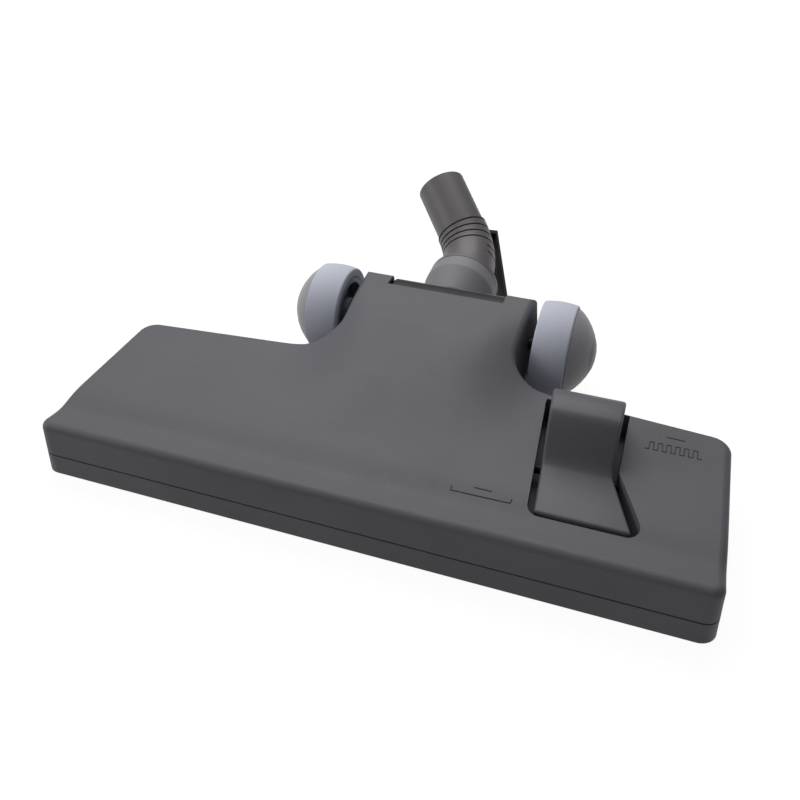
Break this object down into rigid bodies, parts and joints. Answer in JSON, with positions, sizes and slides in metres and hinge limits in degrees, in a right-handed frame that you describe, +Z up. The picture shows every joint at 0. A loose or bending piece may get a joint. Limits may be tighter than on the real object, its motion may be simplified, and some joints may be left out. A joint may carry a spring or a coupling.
{
  "type": "vacuum floor nozzle",
  "caption": "Wide vacuum floor brush with a grained moulded head, rear wheels, a rocking brush pedal, a tilting knuckle and a ribbed swivel elbow with a wand socket.",
  "frame": {"origin": "middle of the sole plate's underside, on the floor", "axes": "+X along the width to the pedal side, +Y to the rear, +Z up"},
  "size_m": [0.37, 0.3135, 0.0855],
  "materials": {
    "cover_plastic": "fine spark-eroded grain",
    "band_plastic": "fine grain",
    "sole_steel": "brushed",
    "lint_pile": "short pile",
    "screw_steel": "zinc plated",
    "inner_plastic": "plain",
    "seal_foam": "open cell foam",
    "pin_steel": "ground",
    "spring_steel": "plain",
    "pedal_plastic": "fine grain",
    "bristle_nylon": "nylon filament",
    "knuckle_plastic": "fine grain",
    "elbow_plastic": "satin",
    "hook_plastic": "satin",
    "hub_plastic": "plain",
    "tyre_rubber": "soft matt",
    "cap_plastic": "satin"
  },
  "bodies": {
    "head": {"top_cover": "cover_plastic", "base_frame": "band_plastic", "sole_plate": "sole_steel", "lint_strips": "lint_pile", "sole_screws": "screw_steel", "suction_channel": "inner_plastic", "duct_seal": "seal_foam", "left_axle": "pin_steel", "right_axle": "pin_steel", "axle_clips": "pin_steel", "pedal_pin": "pin_steel", "pedal_spring": "spring_steel"},
    "pedal": {"pedal": "pedal_plastic"},
    "brush_lift": {"brush_carrier": "inner_plastic", "front_bristles": "bristle_nylon", "rear_bristles": "bristle_nylon"},
    "knuckle": {"tilt_knuckle": "knuckle_plastic"},
    "elbow": {"elbow": "elbow_plastic", "swivel_clip": "spring_steel", "parking_hook": "hook_plastic"},
    "left_wheel": {"left_hub": "hub_plastic", "left_tyre": "tyre_rubber", "left_cap": "cap_plastic"},
    "right_wheel": {"right_hub": "hub_plastic", "right_tyre": "tyre_rubber", "right_cap": "cap_plastic"}
  },
  "joints": [
    {"name": "left_wheel_spin", "type": "hinge", "parent": "head", "child": "left_wheel", "pos_m": [-0.075, 0.116, 0.03], "axis": [1, 0, 0], "continuous": true},
    {"name": "right_wheel_spin", "type": "hinge", "parent": "head", "child": "right_wheel", "pos_m": [0.075, 0.116, 0.03], "axis": [1, 0, 0], "continuous": true},
    {"name": "knuckle_tilt", "type": "hinge", "parent": "head", "child": "knuckle", "pos_m": [0, 0.129, 0.03], "axis": [1, 0, 0], "range_deg": [0, 45]},
    {"name": "elbow_swivel", "type": "hinge", "parent": "knuckle", "child": "elbow", "pos_m": [0, 0.16669, 0.03396], "axis": [0, 0.9945, 0.1045], "range_deg": [-36, 144]},
    {"name": "pedal_rock", "type": "hinge", "parent": "head", "child": "pedal", "pos_m": [0.104, 0.008, 0.025], "axis": [-1, 0, 0], "range_deg": [0, 12]},
    {"name": "brush_drop", "type": "slide", "parent": "head", "child": "brush_lift", "axis": [0, 0, -1], "range_m": [0, 0.0045]}
  ],
  "couplings": [
    {"joint": "brush_drop", "follows": "pedal_rock", "m_per_rad": 0.021484}
  ]
}
